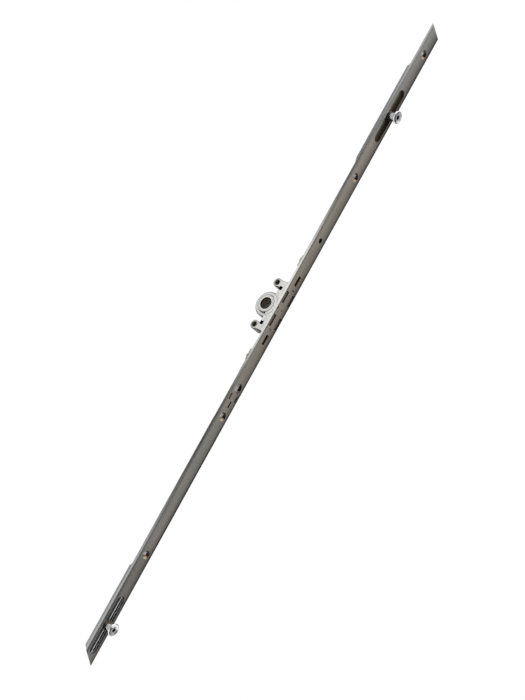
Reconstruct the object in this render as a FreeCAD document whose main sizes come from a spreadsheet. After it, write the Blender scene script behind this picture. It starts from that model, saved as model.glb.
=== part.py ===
import FreeCAD, Part
import Sketcher
import math
import os

# Window espagnolette gearbox: a long faceplate, a die-cast gearbox on its back, and a flat
# drive bar with two mushroom cams that the handle spindle moves up and down.
# The origin is on the spindle axis in the middle of the casing. +Z runs up along the
# faceplate, +X runs across it, and the faceplate's front looks towards -Y.
# All sizes are in millimetres and degrees.

doc = FreeCAD.newDocument("espagnolette_gearbox")

# Driving sizes: name, value, what it measures
SIZES = [
    ("plate_width", 16, "faceplate width"),
    ("plate_thickness", 2.5, "faceplate thickness"),
    ("backset", 15, "faceplate front to spindle axis"),
    ("top_margin", 26.5, "top screw to the upper end at the -X edge"),
    ("bottom_margin", 26.7, "lower cam slot's middle to the lower end at the -X edge"),
    ("top_slant", 4.5, "how much lower the +X corner of the upper end is"),
    ("bottom_slant", 11, "how much lower the +X corner of the lower end is"),
    ("end_bevel", 2.4, "rise of the cut ends through the faceplate thickness"),
    ("edge_round", 0.5, "rounding of the faceplate's front edges"),
    ("cam_slot_length", 54.6, "cam slot from end to end"),
    ("cam_slot_width", 9.4, "cam slot width"),
    ("upper_cam_height", 204.5, "spindle axis up to the upper cam slot's middle"),
    ("lower_cam_depth", 311.5, "spindle axis down to the lower cam slot's middle"),
    ("screw_hole", 4.3, "plate screw hole"),
    ("screw_head", 8.4, "countersink mouth"),
    ("screw_slack", 0.6, "free room between a plate screw and the rod at full travel"),
    ("sleeve_diameter", 4.9, "outside of the sleeve drawn behind each plate screw hole"),
    ("sleeve_reach", 0.3, "sleeve's end beyond the rod's back"),
    ("top_screw_height", 271, "spindle axis up to the top screw"),
    ("upper_screw_height", 139, "spindle axis up to the upper screw"),
    ("lower_screw_depth", 107.5, "spindle axis down to the lower screw"),
    ("bottom_screw_depth", 244, "spindle axis down to the bottom screw"),
    ("view_hole", 9, "round hole over the rod"),
    ("view_hole_depth", 79.3, "spindle axis down to the view hole"),
    ("lug_slot_length", 11.4, "slot that takes a casing lug"),
    ("lug_slot_width", 4.2, "width of the casing lug slots and of the windows"),
    ("lug_slot_offset", 5.2, "faceplate middle line to a lug slot's middle"),
    ("lug_slot_height", 11.8, "spindle axis to a lug slot's middle"),
    ("window_length", 9.8, "single window above and below the casing lugs"),
    ("window_height", 30, "spindle axis to a window's middle"),
    ("stud_hole", 4.8, "hole that takes the upper guide's stud"),
    ("stud_height", 72.5, "spindle axis up to the upper guide's stud"),
    ("clip_slot_length", 6.2, "slot that takes a lower guide leg"),
    ("clip_slot_width", 1.9, "width of the guide leg slots"),
    ("clip_slot_offset", 4.8, "faceplate middle line to a guide leg slot's middle"),
    ("clip_slot_depth", 88.3, "spindle axis down to the guide leg slots"),
    ("centre_slot_depth", 95.6, "spindle axis down to the centre slot"),
    ("punch_height", 20.3, "spindle axis to a crescent punch mark"),
    ("punch_width", 4.8, "crescent punch mark from tip to tip"),
    ("punch_depth", 0.35, "depth of the punch marks"),
    ("casing_thickness", 12.4, "casing across the faceplate's width"),
    ("arm_height", 25.9, "spindle axis to the casing's ends at the faceplate"),
    ("arm_dip", 1.2, "depth of the hollow curve between faceplate and ear"),
    ("dip_radius", 24, "radius of that hollow curve"),
    ("dip_distance", 6.2, "spindle axis to the hollow curve's lowest point"),
    ("neck_distance", 4.2, "casing edge to the spindle axis between ear and boss"),
    ("ear_spacing", 43, "handle screw spacing"),
    ("ear_radius", 4.2, "outer radius of a screw ear"),
    ("ear_web", 3.6, "screw ear's middle down to the inner edge of its web"),
    ("ear_hole", 4.2, "core hole of the M5 handle screw thread"),
    ("rim_radius", 12.2, "outer radius of the gear room's rim"),
    ("rim_thickness", 7.4, "casing thickness at the rim"),
    ("boss_radius", 8.7, "raised boss round the spindle bore"),
    ("bore_diameter", 11.4, "casing bore that the nut turns in"),
    ("gear_room_radius", 11.45, "inner radius of the gear room"),
    ("gear_room_width", 5.9, "inner width of the gear room"),
    ("cored_hole", 3.5, "square cored hole beside each ear"),
    ("cored_hole_distance", 6.4, "square hole to the spindle axis, towards the plate"),
    ("cored_hole_height", 17.6, "spindle axis to a square hole's middle"),
    ("casing_chamfer", 0.5, "chamfer of the casing's outer edges"),
    ("lug_recess", 1.2, "casing lug end below the faceplate's front"),
    ("lug_slack", 0.3, "free room between a lug and its slot"),
    ("rivet_head", 4.2, "rivet head diameter"),
    ("rivet_head_height", 0.9, "rivet head height"),
    ("rivet_distance", 6.9, "casing rivets to the spindle axis, towards the plate"),
    ("inner_rivet_height", 13.2, "spindle axis to the inner casing rivets"),
    ("outer_rivet_height", 21.8, "spindle axis to the outer casing rivets"),
    ("travel", 16, "rod travel each way from the middle"),
    ("slide_gap", 0.1, "free room between the plate and the rod"),
    ("rod_thickness", 1.7, "drive rod thickness"),
    ("rod_width", 12, "drive rod width between the blades"),
    ("blade_taper", 3.5, "length of the sloped step from rod to blade"),
    ("blade_reach", 50.5, "upper cam down to the start of its blade"),
    ("lower_blade_reach", 52.5, "lower cam up to the start of its blade"),
    ("rod_top_gap", 14, "top screw down to the rod's upper end"),
    ("rod_slot_width", 5.3, "width of the rod's slots at the screws and the stud"),
    ("rod_neck_width", 7.2, "rod width between the lower guide's legs"),
    ("rack_width", 5.8, "rack width"),
    ("rack_lap", 10.8, "length of the rack's laps"),
    ("lap_thickness", 2, "thickness of the rack's laps"),
    ("lap_width", 9, "width of the rack's laps"),
    ("lap_rivet_offset", 2.4, "rod's middle line to a rivet of the lap"),
    ("channel_clearance", 0.15, "free room between the rack and its channel's sides"),
    ("channel_headroom", 0.3, "free room between the rack's tips and the casing"),
    ("pitch_radius", 10.2, "pitch radius of the nut's teeth"),
    ("tooth_count", 13, "teeth on the nut"),
    ("pressure_angle", 20, "pressure angle of the teeth"),
    ("nut_addendum", 1.05, "nut tooth height beyond the pitch circle"),
    ("rack_addendum", 1, "rack tooth height beyond the pitch line"),
    ("root_clearance", 0.25, "free room under a tooth tip"),
    ("backlash", 0.16, "free room between meshing teeth at the pitch line"),
    ("nut_tooth_width", 5.6, "width of the nut's teeth"),
    ("nut_length", 9.8, "nut from face to face"),
    ("spindle_square", 7.05, "square hole for the 7 mm spindle"),
    ("square_chamfer", 0.4, "chamfer at the mouth of the square hole"),
    ("bearing_clearance", 0.05, "radial running clearance"),
    ("rack_spaces", 9, "tooth spaces in the rack"),
    ("cam_offset", 0.8, "eccentricity of the cams"),
    ("tenon_diameter", 5, "stud tenon in the rod"),
    ("flange_diameter", 8, "stud flange inside the collar"),
    ("journal_diameter", 4.6, "stud journal inside the roller"),
    ("collar_diameter", 9.2, "collar outside"),
    ("collar_rise", 1.2, "collar above the faceplate's front"),
    ("neck_diameter", 6.4, "roller neck"),
    ("head_diameter", 12.5, "mushroom head"),
    ("head_rise", 9, "mushroom head's face above the faceplate's front"),
    ("head_thickness", 1.9, "thickness of the mushroom head's rim"),
    ("head_chamfer", 0.6, "chamfer of the mushroom head's face"),
    ("flare_height", 1.7, "height of the cone under the head"),
    ("stud_head_diameter", 5.9, "riveted head of the stud in the roller"),
    ("stud_head_depth", 0.9, "depth of the seat for the stud's head"),
    ("key_socket", 3.6, "hexagon socket across flats"),
    ("key_socket_depth", 2, "depth of the hexagon socket"),
    ("washer_diameter", 9, "washer under the riveted tenon"),
    ("washer_thickness", 1, "washer thickness"),
    ("tenon_head_diameter", 6.8, "riveted end of the tenon"),
    ("tenon_head_height", 1, "height of the riveted end"),
    ("guide_width", 7.2, "upper guide across the rod"),
    ("guide_length", 9, "upper guide along the rod"),
    ("guide_lead", 2.4, "upper guide's lower end below its stud"),
    ("guide_thickness", 1.1, "thickness of the guides behind the rod"),
    ("stud_recess", 1.4, "guide stud and legs below the faceplate's front"),
    ("guide_fit", 0.1, "free room of the guides in the faceplate"),
    ("leaf_width", 7, "lower guide's leaf behind the view hole, from the middle line"),
]

sheet = doc.addObject("Spreadsheet::Sheet", "Size")
for row, (name, amount, note) in enumerate(SIZES, start=1):
    sheet.set(f"A{row}", name)
    sheet.set(f"B{row}", str(amount))
    sheet.setAlias(f"B{row}", name)
    sheet.set(f"C{row}", note)
doc.recompute()

# Levels that several pieces share, as expressions on the sheet
HALF_PLATE = "(Size.plate_width / 2)"
PLATE_TOP = "(Size.top_screw_height + Size.top_margin)"
PLATE_BOTTOM = "(Size.lower_cam_depth + Size.bottom_margin)"
PLATE_BACK = "(Size.plate_thickness - Size.backset)"
ROD_FRONT = f"({PLATE_BACK} + Size.slide_gap)"
ROD_BACK = f"({ROD_FRONT} + Size.rod_thickness)"
LAP_BACK = f"({ROD_BACK} + Size.lap_thickness)"
BEVEL_RATE = "(Size.end_bevel / Size.plate_thickness)"
RACK_TIP = "(Size.rack_addendum - Size.pitch_radius)"
RACK_ROOT = "(-Size.pitch_radius - Size.nut_addendum - Size.root_clearance)"
CHANNEL_TOP = f"({RACK_TIP} + Size.channel_headroom)"
HALF_CHANNEL = "(Size.rack_width / 2 + Size.channel_clearance)"
LAP_START = "(Size.arm_height + Size.travel + 0.7)"
ROD_START = f"({LAP_START} + 2.6)"
LAP_END = f"({LAP_START} + Size.rack_lap)"
FRONT_LAYER = "(Size.backset)"
ROD_LAYER = f"(-{ROD_BACK})"
SLOT_REACH = "(Size.travel + Size.screw_hole / 2 + Size.screw_slack)"


def value(expression):
    """The number that an expression on the sheet gives."""
    return float(sheet.evalExpression(expression))


def new_body(label):
    body = doc.addObject("PartDesign::Body", label)
    body.Label = label
    return body


def new_sketch(body, role, height="0", across="0", up="0"):
    """Sketch on one of the body's own origin planes, raised along the plane's normal."""
    sketch = body.newObject("Sketcher::SketchObject", "Sketch")
    plane = next(f for f in body.Origin.OriginFeatures if f.Role == role)
    sketch.AttachmentSupport = (plane, [""])
    sketch.MapMode = "FlatFace"
    sketch.setExpression("AttachmentOffset.Base.x", across)
    sketch.setExpression("AttachmentOffset.Base.y", up)
    sketch.setExpression("AttachmentOffset.Base.z", height)
    return sketch


def tie(sketch, kind, geometry, point, expression):
    """Holds a point's coordinate to an expression on the sheet."""
    if expression == "0":
        axis = -2 if kind == "DistanceX" else -1
        sketch.addConstraint(Sketcher.Constraint("PointOnObject", geometry, point, axis))
        return
    rule = Sketcher.Constraint(kind, -1, 1, geometry, point, value(expression))
    sketch.setExpression(f"Constraints[{sketch.addConstraint(rule)}]", expression)


def tie_radius(sketch, geometry, expression):
    rule = Sketcher.Constraint("Radius", geometry, value(expression))
    sketch.setExpression(f"Constraints[{sketch.addConstraint(rule)}]", expression)


def draw_outline(sketch, corners):
    """Closed outline of straight lines through corners given as pairs of expressions."""
    first = sketch.GeometryCount
    count = len(corners)
    points = [FreeCAD.Vector(value(x), value(y), 0) for x, y in corners]
    for i in range(count):
        sketch.addGeometry(Part.LineSegment(points[i], points[(i + 1) % count]), False)
    for i in range(count):
        following = first + (i + 1) % count
        sketch.addConstraint(Sketcher.Constraint("Coincident", first + i, 2, following, 1))
    for i, (x, y) in enumerate(corners):
        tie(sketch, "DistanceX", first + i, 1, x)
        tie(sketch, "DistanceY", first + i, 1, y)


def draw_box(sketch, x, y, width, height):
    """Upright rectangle round a middle point."""
    left, right = f"{x} - ({width}) / 2", f"{x} + ({width}) / 2"
    low, high = f"{y} - ({height}) / 2", f"{y} + ({height}) / 2"
    draw_outline(sketch, [(left, low), (right, low), (right, high), (left, high)])


def draw_circle(sketch, x, y, diameter):
    middle = FreeCAD.Vector(value(x), value(y), 0)
    circle = Part.Circle(middle, FreeCAD.Vector(0, 0, 1), value(diameter) / 2)
    index = sketch.addGeometry(circle, False)
    tie(sketch, "DistanceX", index, 3, x)
    tie(sketch, "DistanceY", index, 3, y)
    tie_radius(sketch, index, f"({diameter}) / 2")


def draw_slot(sketch, x, low, high, width):
    """Upright slot with full round ends, whose end centres are at low and high."""
    radius = value(width) / 2
    normal = FreeCAD.Vector(0, 0, 1)
    ends = [FreeCAD.Vector(value(x), value(y), 0) for y in (high, low)]
    side = FreeCAD.Vector(radius, 0, 0)
    top = sketch.addGeometry(Part.ArcOfCircle(Part.Circle(ends[0], normal, radius), 0, math.pi), False)
    left = sketch.addGeometry(Part.LineSegment(ends[0] - side, ends[1] - side), False)
    bottom_arc = Part.ArcOfCircle(Part.Circle(ends[1], normal, radius), math.pi, 2 * math.pi)
    bottom = sketch.addGeometry(bottom_arc, False)
    right = sketch.addGeometry(Part.LineSegment(ends[1] + side, ends[0] + side), False)
    for one, one_end, other, other_end in ((top, 2, left, 1), (left, 2, bottom, 1),
                                           (bottom, 2, right, 1), (right, 2, top, 1)):
        sketch.addConstraint(Sketcher.Constraint("Tangent", one, one_end, other, other_end))
    for arc, height in ((top, high), (bottom, low)):
        tie(sketch, "DistanceX", arc, 3, x)
        tie(sketch, "DistanceY", arc, 3, height)
    tie_radius(sketch, top, f"({width}) / 2")
    sketch.addConstraint(Sketcher.Constraint("Equal", top, bottom))


def draw_crescent(sketch, height, rise, inner_rise):
    """Thin crescent with its tips at one height, bulging by rise outside and inner_rise inside."""
    half = "(Size.punch_width / 2)"
    signs = ("", "-") if value(rise) > 0 else ("-", "")
    tips = [FreeCAD.Vector(value(sign + half), value(height), 0) for sign in signs]
    arcs = []
    for bulge in (rise, inner_rise):
        crown = FreeCAD.Vector(0, value(height) + value(bulge), 0)
        arcs.append(sketch.addGeometry(Part.Arc(tips[0], crown, tips[1]), False))
        tie_radius(sketch, arcs[-1], f"({half} ^ 2 + ({bulge}) ^ 2) / (2 * abs({bulge}))")
    for end, sign in zip((1, 2), signs):
        sketch.addConstraint(Sketcher.Constraint("Coincident", arcs[0], end, arcs[1], end))
        tie(sketch, "DistanceX", arcs[0], end, sign + half)
        tie(sketch, "DistanceY", arcs[0], end, height)


def grow(body, sketch, length, reverse=False):
    """Adds a pad and checks that it made the body bigger."""
    before = body.Tip.Shape.Volume if body.Tip else 0
    pad = body.newObject("PartDesign::Pad", "Pad")
    pad.Profile = sketch
    pad.setExpression("Length", length)
    pad.Reversed = reverse
    doc.recompute()
    if not pad.Shape.Volume > before:
        raise ValueError(f"{body.Label}: {pad.Name} added nothing")
    return pad


def cut(body, sketch, length, reverse=False):
    """Adds a pocket and checks that it made the body smaller."""
    before = body.Tip.Shape.Volume
    pocket = body.newObject("PartDesign::Pocket", "Pocket")
    pocket.Profile = sketch
    pocket.setExpression("Length", length)
    pocket.Reversed = reverse
    doc.recompute()
    if not 0 < pocket.Shape.Volume < before:
        raise ValueError(f"{body.Label}: {pocket.Name} removed nothing")
    return pocket


def shear(pad):
    """Leans a pad from the faceplate's front towards its back by the bevel of the cut ends."""
    pad.UseCustomVector = True
    pad.AlongSketchNormal = True
    pad.setExpression("Direction.x", "0 * Size.end_bevel")
    pad.setExpression("Direction.y", "Size.plate_thickness")
    pad.setExpression("Direction.z", "Size.end_bevel")
    doc.recompute()
    return pad


def turn(body, sketch, axis="V_Axis"):
    """Full revolution of a sketch about its own upright or level axis."""
    feature = body.newObject("PartDesign::Revolution", "Revolution")
    feature.Profile = sketch
    feature.ReferenceAxis = (sketch, [axis])
    feature.Angle = 360
    doc.recompute()
    return feature


def dress(body, kind, picked, size):
    """Adds a fillet or chamfer on the edges of the body's tip that picked accepts."""
    base = body.Tip
    names = [f"Edge{i}" for i, edge in enumerate(base.Shape.Edges, start=1) if picked(edge)]
    if not names:
        raise ValueError(f"{body.Label}: no edge to dress")
    feature = body.newObject(f"PartDesign::{kind}", kind)
    feature.Base = (base, names)
    feature.setExpression("Radius" if kind == "Fillet" else "Size", size)
    doc.recompute()
    return feature


def near(one, other):
    return abs(one - other) < 1e-4


def is_ring(edge, radius, axis_index, level):
    """A full circle of the radius that lies at the level along one axis."""
    circle = edge.Curve
    return (isinstance(circle, Part.Circle) and near(circle.Radius, radius)
            and edge.isClosed() and near(edge.CenterOfMass[axis_index], level))


# Faceplate: rolled steel strip with both ends cut in one slanting, bevelled shear stroke
def make_faceplate():
    body = new_body("faceplate")
    strip = new_sketch(body, "XZ_Plane", FRONT_LAYER)
    draw_outline(strip, [(f"-{HALF_PLATE}", PLATE_TOP), (HALF_PLATE, f"{PLATE_TOP} - Size.top_slant"),
                         (HALF_PLATE, f"-{PLATE_BOTTOM} - Size.bottom_slant"),
                         (f"-{HALF_PLATE}", f"-{PLATE_BOTTOM}")])
    shear(grow(body, strip, "Size.plate_thickness"))
    half, level = value(HALF_PLATE), -value("Size.backset")

    def long_front_edge(edge):
        ends = [v.Point for v in edge.Vertexes]
        return all(near(abs(p.x), half) and near(p.y, level) for p in ends) and near(ends[0].x, ends[1].x)
    dress(body, "Fillet", long_front_edge, "Size.edge_round")

    openings = new_sketch(body, "XZ_Plane", FRONT_LAYER)
    reach = "(Size.cam_slot_length - Size.cam_slot_width) / 2"
    for middle in ("Size.upper_cam_height", "-Size.lower_cam_depth"):
        draw_slot(openings, "0", f"{middle} - {reach}", f"{middle} + {reach}", "Size.cam_slot_width")
    screws = ("Size.top_screw_height", "Size.upper_screw_height",
              "-Size.lower_screw_depth", "-Size.bottom_screw_depth")
    for height in screws:
        draw_circle(openings, "0", height, "Size.screw_hole")
    draw_circle(openings, "0", "-Size.view_hole_depth", "Size.view_hole")
    draw_circle(openings, "0", "Size.stud_height", "Size.stud_hole")
    for sign in ("", "-"):
        draw_box(openings, "0", f"{sign}Size.window_height", "Size.lug_slot_width", "Size.window_length")
        draw_box(openings, f"{sign}Size.clip_slot_offset", "-Size.clip_slot_depth",
                 "Size.clip_slot_width", "Size.clip_slot_length")
        for side in ("", "-"):
            draw_box(openings, f"{side}Size.lug_slot_offset", f"{sign}Size.lug_slot_height",
                     "Size.lug_slot_width", "Size.lug_slot_length")
    draw_box(openings, "0", "-Size.centre_slot_depth", "Size.clip_slot_width", "Size.clip_slot_length")
    cut(body, openings, "Size.plate_thickness")

    # Each screw hole is drawn to a sleeve that keeps the screw clear of the rod
    sleeves = new_sketch(body, "XZ_Plane", f"-({ROD_BACK} + Size.sleeve_reach)")
    for height in screws:
        draw_circle(sleeves, "0", height, "Size.sleeve_diameter")
        draw_circle(sleeves, "0", height, "Size.screw_hole")
    grow(body, sleeves, f"{ROD_BACK} + Size.sleeve_reach - {PLATE_BACK}")

    radius = value("Size.screw_hole") / 2
    dress(body, "Chamfer", lambda edge: is_ring(edge, radius, 1, level),
          "(Size.screw_head - Size.screw_hole) / 2")

    marks = new_sketch(body, "XZ_Plane", FRONT_LAYER)
    draw_crescent(marks, "Size.punch_height", "Size.punch_width / 5", "Size.punch_width / 12")
    draw_crescent(marks, "-Size.punch_height", "-Size.punch_width / 5", "-Size.punch_width / 12")
    cut(body, marks, "Size.punch_depth")
    return body


# Gearbox casing: two zinc castings that meet on the middle plane and clip round the nut
def make_casing_half(label, side):
    body = new_body(label)
    away = side < 0
    half = "Size.casing_thickness / 2"
    arm = "Size.arm_height"
    ear = "Size.ear_spacing / 2"
    shoulder = "-Size.ear_radius / 3"

    block = new_sketch(body, "YZ_Plane")
    web = f"{ear} - Size.ear_web"
    upper = [(PLATE_BACK, arm), (shoulder, arm), (shoulder, ear), ("0", ear), ("0", web),
             ("-Size.neck_distance", web)]
    lower = [(y, f"-({z})") for y, z in reversed(upper)]
    draw_outline(block, upper + lower)
    grow(body, block, half, away)
    dip = new_sketch(body, "YZ_Plane")
    for sign in ("", "-"):
        draw_circle(dip, "-Size.dip_distance", f"{sign}({arm} - Size.arm_dip + Size.dip_radius)",
                    "2 * Size.dip_radius")
    cut(body, dip, half, not away)

    face = side * value(half)

    def outer_edge(edge):
        on_face = all(near(v.Point.x, face) for v in edge.Vertexes)
        return on_face and not all(near(v.Point.y, value(PLATE_BACK)) for v in edge.Vertexes)
    dress(body, "Chamfer", outer_edge, "Size.casing_chamfer")

    bevel = "Size.casing_chamfer"
    top, rim_top = f"{side} * {half}", f"{side} * Size.rim_thickness / 2"
    low, rim_low = f"{side} * ({half} - {bevel})", f"{side} * (Size.rim_thickness / 2 - {bevel})"
    disc = new_sketch(body, "XY_Plane")
    draw_outline(disc, [("0", "0"), (top, "0"), (top, f"Size.boss_radius - {bevel}"),
                        (low, "Size.boss_radius"), (rim_top, "Size.boss_radius"),
                        (rim_top, f"Size.rim_radius - {bevel}"), (rim_low, "Size.rim_radius"),
                        ("0", "Size.rim_radius")])
    turn(body, disc, "H_Axis")
    for sign in ("", "-"):
        round_ear = new_sketch(body, "XY_Plane", f"{sign}{ear}")
        draw_outline(round_ear, [("0", "0"), (top, "0"), (top, f"Size.ear_radius - {bevel}"),
                                 (low, "Size.ear_radius"), ("0", "Size.ear_radius")])
        turn(body, round_ear, "H_Axis")

    room = new_sketch(body, "YZ_Plane")
    draw_circle(room, "0", "0", "2 * Size.gear_room_radius")
    cut(body, room, "Size.gear_room_width / 2", not away)

    channel = new_sketch(body, "YZ_Plane")
    middle = f"({PLATE_BACK} + {CHANNEL_TOP}) / 2"
    draw_box(channel, middle, "0 * Size.arm_height", f"{CHANNEL_TOP} - {PLATE_BACK}", f"2 * {arm}")
    cut(body, channel, HALF_CHANNEL, not away)

    through = new_sketch(body, "YZ_Plane")
    draw_circle(through, "0", "0", "Size.bore_diameter")
    for sign in ("", "-"):
        draw_circle(through, "0", f"{sign}{ear}", "Size.ear_hole")
        draw_box(through, "-Size.cored_hole_distance", f"{sign}Size.cored_hole_height",
                 "Size.cored_hole", "Size.cored_hole")
    cut(body, through, half, not away)

    inner = "(Size.lug_slot_offset - Size.lug_slot_width / 2 + Size.lug_slack)"
    for sign in ("", "-"):
        lug = new_sketch(body, "YZ_Plane", f"{side} * {inner}")
        tip, root = "-Size.backset + Size.lug_recess", f"{PLATE_BACK} + 0.5"
        long = "Size.lug_slot_length / 2 - Size.lug_slack"
        low, high = f"{sign}Size.lug_slot_height - ({long})", f"{sign}Size.lug_slot_height + {long}"
        draw_outline(lug, [(tip, low), (root, low), (root, high), (tip, high)])
        grow(body, lug, f"{half} - {inner} - 0.1", away)
    return body


# Nut: zinc casting with involute teeth, a bearing journal each side and the spindle square
def involute(angle):
    return math.tan(angle) - angle


def make_nut():
    pitch = value("Size.pitch_radius")
    count = int(round(value("Size.tooth_count")))
    pressure = math.radians(value("Size.pressure_angle"))
    base = pitch * math.cos(pressure)
    tip = pitch + value("Size.nut_addendum")
    root = pitch - value("Size.rack_addendum") - value("Size.root_clearance")
    tooth = math.pi * pitch / count - value("Size.backlash") / 2
    half_at_base = tooth / 2 / pitch + involute(pressure)

    def point(radius, angle, tooth_angle):
        """Point at a radius, turned by angle from the tooth's middle line."""
        turned = math.radians(180) + tooth_angle + angle
        return FreeCAD.Vector(0, radius * math.cos(turned), radius * math.sin(turned))

    def half_angle(radius):
        return half_at_base - involute(math.acos(min(1, base / radius)))

    edges = []
    step = 2 * math.pi / count
    point_count = 5
    radii = [base + (tip - base) * i / (point_count - 1) for i in range(point_count)]
    start = min(root, base)
    for index in range(count):
        middle = index * step
        rising = [point(r, -half_angle(r), middle) for r in radii]
        falling = [point(r, half_angle(r), middle) for r in reversed(radii)]
        foot_in, foot_out = point(start, -half_at_base, middle), point(start, half_at_base, middle)
        next_foot = point(start, -half_at_base, middle + step)
        curves = [Part.LineSegment(foot_in, rising[0])]
        for flank in (rising, falling):
            spline = Part.BSplineCurve()
            spline.interpolate(flank)
            curves.append(spline)
        curves.insert(2, Part.Arc(rising[-1], point(tip, 0, middle), falling[0]))
        curves.append(Part.LineSegment(falling[-1], foot_out))
        curves.append(Part.Arc(foot_out, point(start, step / 2, middle), next_foot))
        edges += [curve.toShape() for curve in curves]
    wire = Part.Wire(edges)
    width = value("Size.nut_tooth_width")
    gear = Part.Face(wire).extrude(FreeCAD.Vector(width, 0, 0))
    gear.translate(FreeCAD.Vector(-width / 2, 0, 0))
    length = value("Size.nut_length")
    along = FreeCAD.Vector(1, 0, 0)
    journal = value("Size.bore_diameter") / 2 - value("Size.bearing_clearance")
    hub = Part.makeCylinder(journal, length, FreeCAD.Vector(-length / 2, 0, 0), along)
    square = value("Size.spindle_square")
    hole = Part.makeBox(2 * length, square, square, FreeCAD.Vector(-length, -square / 2, -square / 2))
    solid = gear.fuse(hub).removeSplitter().cut(hole)
    mouth = value("Size.square_chamfer")
    for end in (-1, 1):
        outer = Part.makePolygon([FreeCAD.Vector(end * length / 2, y * (square / 2 + mouth),
                                                 z * (square / 2 + mouth))
                                  for y, z in ((-1, -1), (1, -1), (1, 1), (-1, 1), (-1, -1))])
        inner = Part.makePolygon([FreeCAD.Vector(end * (length / 2 - mouth), y * square / 2, z * square / 2)
                                  for y, z in ((-1, -1), (1, -1), (1, 1), (-1, 1), (-1, -1))])
        solid = solid.cut(Part.makeLoft([outer, inner], True, True))
    nut = doc.addObject("Part::Feature", "drive_nut")
    nut.Label = "drive_nut"
    nut.Shape = solid
    return nut


# Rack: steel bar with tooth spaces milled in its back and a riveting lap at each end
def make_rack():
    body = new_body("drive_rack")
    half = "Size.rack_width / 2"
    pitch = "(2 * pi * Size.pitch_radius / Size.tooth_count)"
    toothed = f"((Size.rack_spaces + 0.45) / 2 * {pitch})"
    tail = f"({ROD_START} - 0.1)"
    bar = new_sketch(body, "YZ_Plane", f"-{half}")
    upper = [(ROD_BACK, tail), (ROD_BACK, toothed), (RACK_TIP, toothed)]
    lower = [(y, f"-({z})") for y, z in reversed(upper)]
    draw_outline(bar, [(ROD_FRONT, f"-{tail}"), (ROD_FRONT, tail)] + upper + lower)
    grow(body, bar, "Size.rack_width")

    slope = "tan(Size.pressure_angle * 1 deg)"
    space = f"({pitch} / 2 + Size.backlash / 2)"
    wide = f"({space} / 2 + Size.rack_addendum * {slope})"
    narrow = f"({space} / 2 - (Size.nut_addendum + Size.root_clearance) * {slope})"
    first = f"(-(Size.rack_spaces - 1) / 2 * {pitch})"
    gap = new_sketch(body, "YZ_Plane", f"-{half}")
    draw_outline(gap, [(RACK_TIP, f"{first} - {wide}"), (RACK_TIP, f"{first} + {wide}"),
                       (RACK_ROOT, f"{first} + {narrow}"), (RACK_ROOT, f"{first} - {narrow}")])
    pocket = cut(body, gap, "Size.rack_width", True)
    pattern = body.newObject("PartDesign::LinearPattern", "ToothSpaces")
    pattern.Originals = [pocket]
    pattern.Direction = (gap, ["V_Axis"])
    pattern.setExpression("Length", f"(Size.rack_spaces - 1) * {pitch}")
    pattern.setExpression("Occurrences", "Size.rack_spaces")
    body.Tip = pattern
    doc.recompute()

    for sign in ("", "-"):
        lap = new_sketch(body, "XZ_Plane", f"-{LAP_BACK}")
        draw_box(lap, "0 * Size.lap_width", f"{sign}({LAP_START} + {LAP_END}) / 2", "Size.lap_width",
                 "Size.rack_lap")
        grow(body, lap, "Size.lap_thickness")
    return body


# Rods: stamped steel bars, widened to blades where they carry the cams
def make_upper_rod():
    body = new_body("upper_drive_rod")
    narrow, wide = "(Size.rod_width / 2)", HALF_PLATE
    blade = "(Size.upper_cam_height - Size.blade_reach)"
    end = "(Size.top_screw_height - Size.rod_top_gap)"
    prong = "(Size.screw_hole / 2 + Size.screw_slack)"
    fork_bottom = f"(Size.top_screw_height - {SLOT_REACH})"
    right = [(narrow, ROD_START), (narrow, f"{blade} - Size.blade_taper"), (wide, blade),
             (wide, f"{end} - Size.blade_taper"), (f"{wide} - Size.blade_taper / 2", end), (prong, end),
             (prong, fork_bottom)]
    left = [(f"-({x})", z) for x, z in reversed(right)]
    strip = new_sketch(body, "XZ_Plane", ROD_LAYER)
    draw_outline(strip, right + left)
    grow(body, strip, "Size.rod_thickness")

    openings = new_sketch(body, "XZ_Plane", ROD_LAYER)
    for height in ("Size.stud_height", "Size.upper_screw_height"):
        draw_slot(openings, "0", f"{height} - {SLOT_REACH} + Size.rod_slot_width / 2",
                  f"{height} + {SLOT_REACH} - Size.rod_slot_width / 2", "Size.rod_slot_width")
    draw_circle(openings, "0", "Size.upper_cam_height", "Size.tenon_diameter + 2 * Size.bearing_clearance")
    cut(body, openings, "Size.rod_thickness", True)
    return body


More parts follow.
